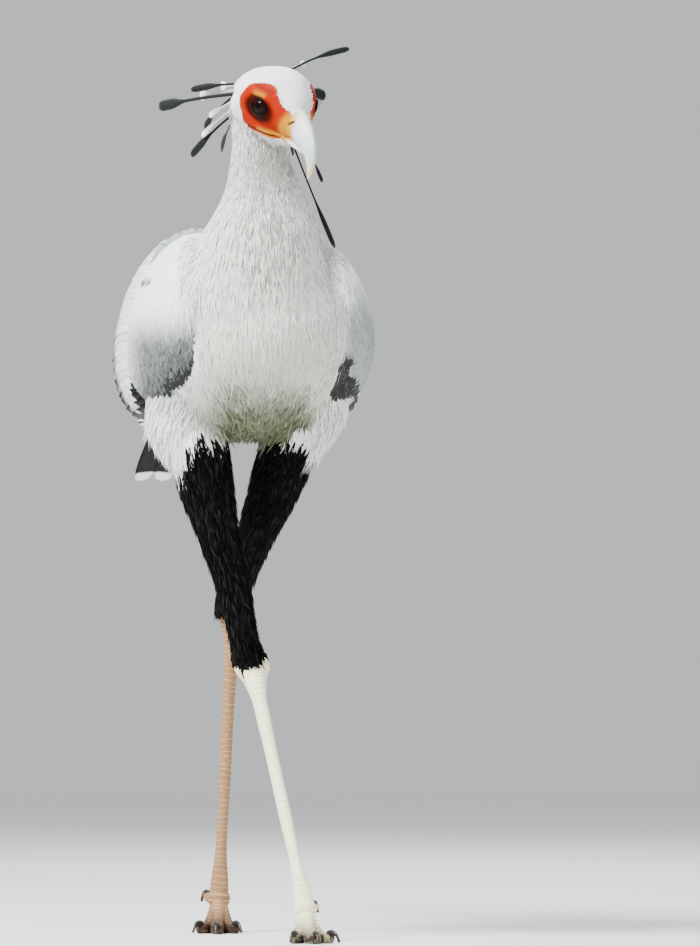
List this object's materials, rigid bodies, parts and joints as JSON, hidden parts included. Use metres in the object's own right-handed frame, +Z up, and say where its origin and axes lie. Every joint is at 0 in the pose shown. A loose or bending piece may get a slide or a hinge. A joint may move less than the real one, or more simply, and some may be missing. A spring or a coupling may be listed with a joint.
{
  "type": "secretary bird",
  "caption": "Life-size still model of a walking secretary bird, crest raised, one long leg crossing in front of the other, head turned aside.",
  "frame": {"origin": "bottom centre of the bird's box, on the floor that its toes stand on", "axes": "+Z up, the bird walks towards -Y, its left side at +X"},
  "size_m": [0.3016, 0.9926, 0.9768],
  "materials": {
    "white_feather": "soft matte white feathers",
    "grey_feather": "matte pale grey feathers with darker edges",
    "black_feather": "matte black feathers",
    "face_skin": "bare wrinkled orange skin",
    "bill_horn": "smooth pale horn",
    "claw_horn": "worn dark horn",
    "leg_scale": "pale dry scales",
    "eye_surface": "wet dark eye"
  },
  "bodies": {
    "root": {"torso": "white_feather", "neck": "white_feather", "thigh_left": "white_feather", "thigh_right": "white_feather", "wing_left": "grey_feather", "wing_right": "grey_feather", "tail": "grey_feather", "shank_left": "black_feather", "shank_right": "black_feather", "head": "face_skin", "bill_upper": "bill_horn", "bill_lower": "bill_horn", "eye_left": "eye_surface", "eye_right": "eye_surface", "shin_left": "leg_scale", "shin_right": "leg_scale", "foot_left": "leg_scale", "foot_right": "leg_scale", "claw_left_inner": "claw_horn", "claw_left_middle": "claw_horn", "claw_left_outer": "claw_horn", "claw_left_hind": "claw_horn", "claw_right_inner": "claw_horn", "claw_right_middle": "claw_horn", "claw_right_outer": "claw_horn", "claw_right_hind": "claw_horn"}
  },
  "joints": []
}
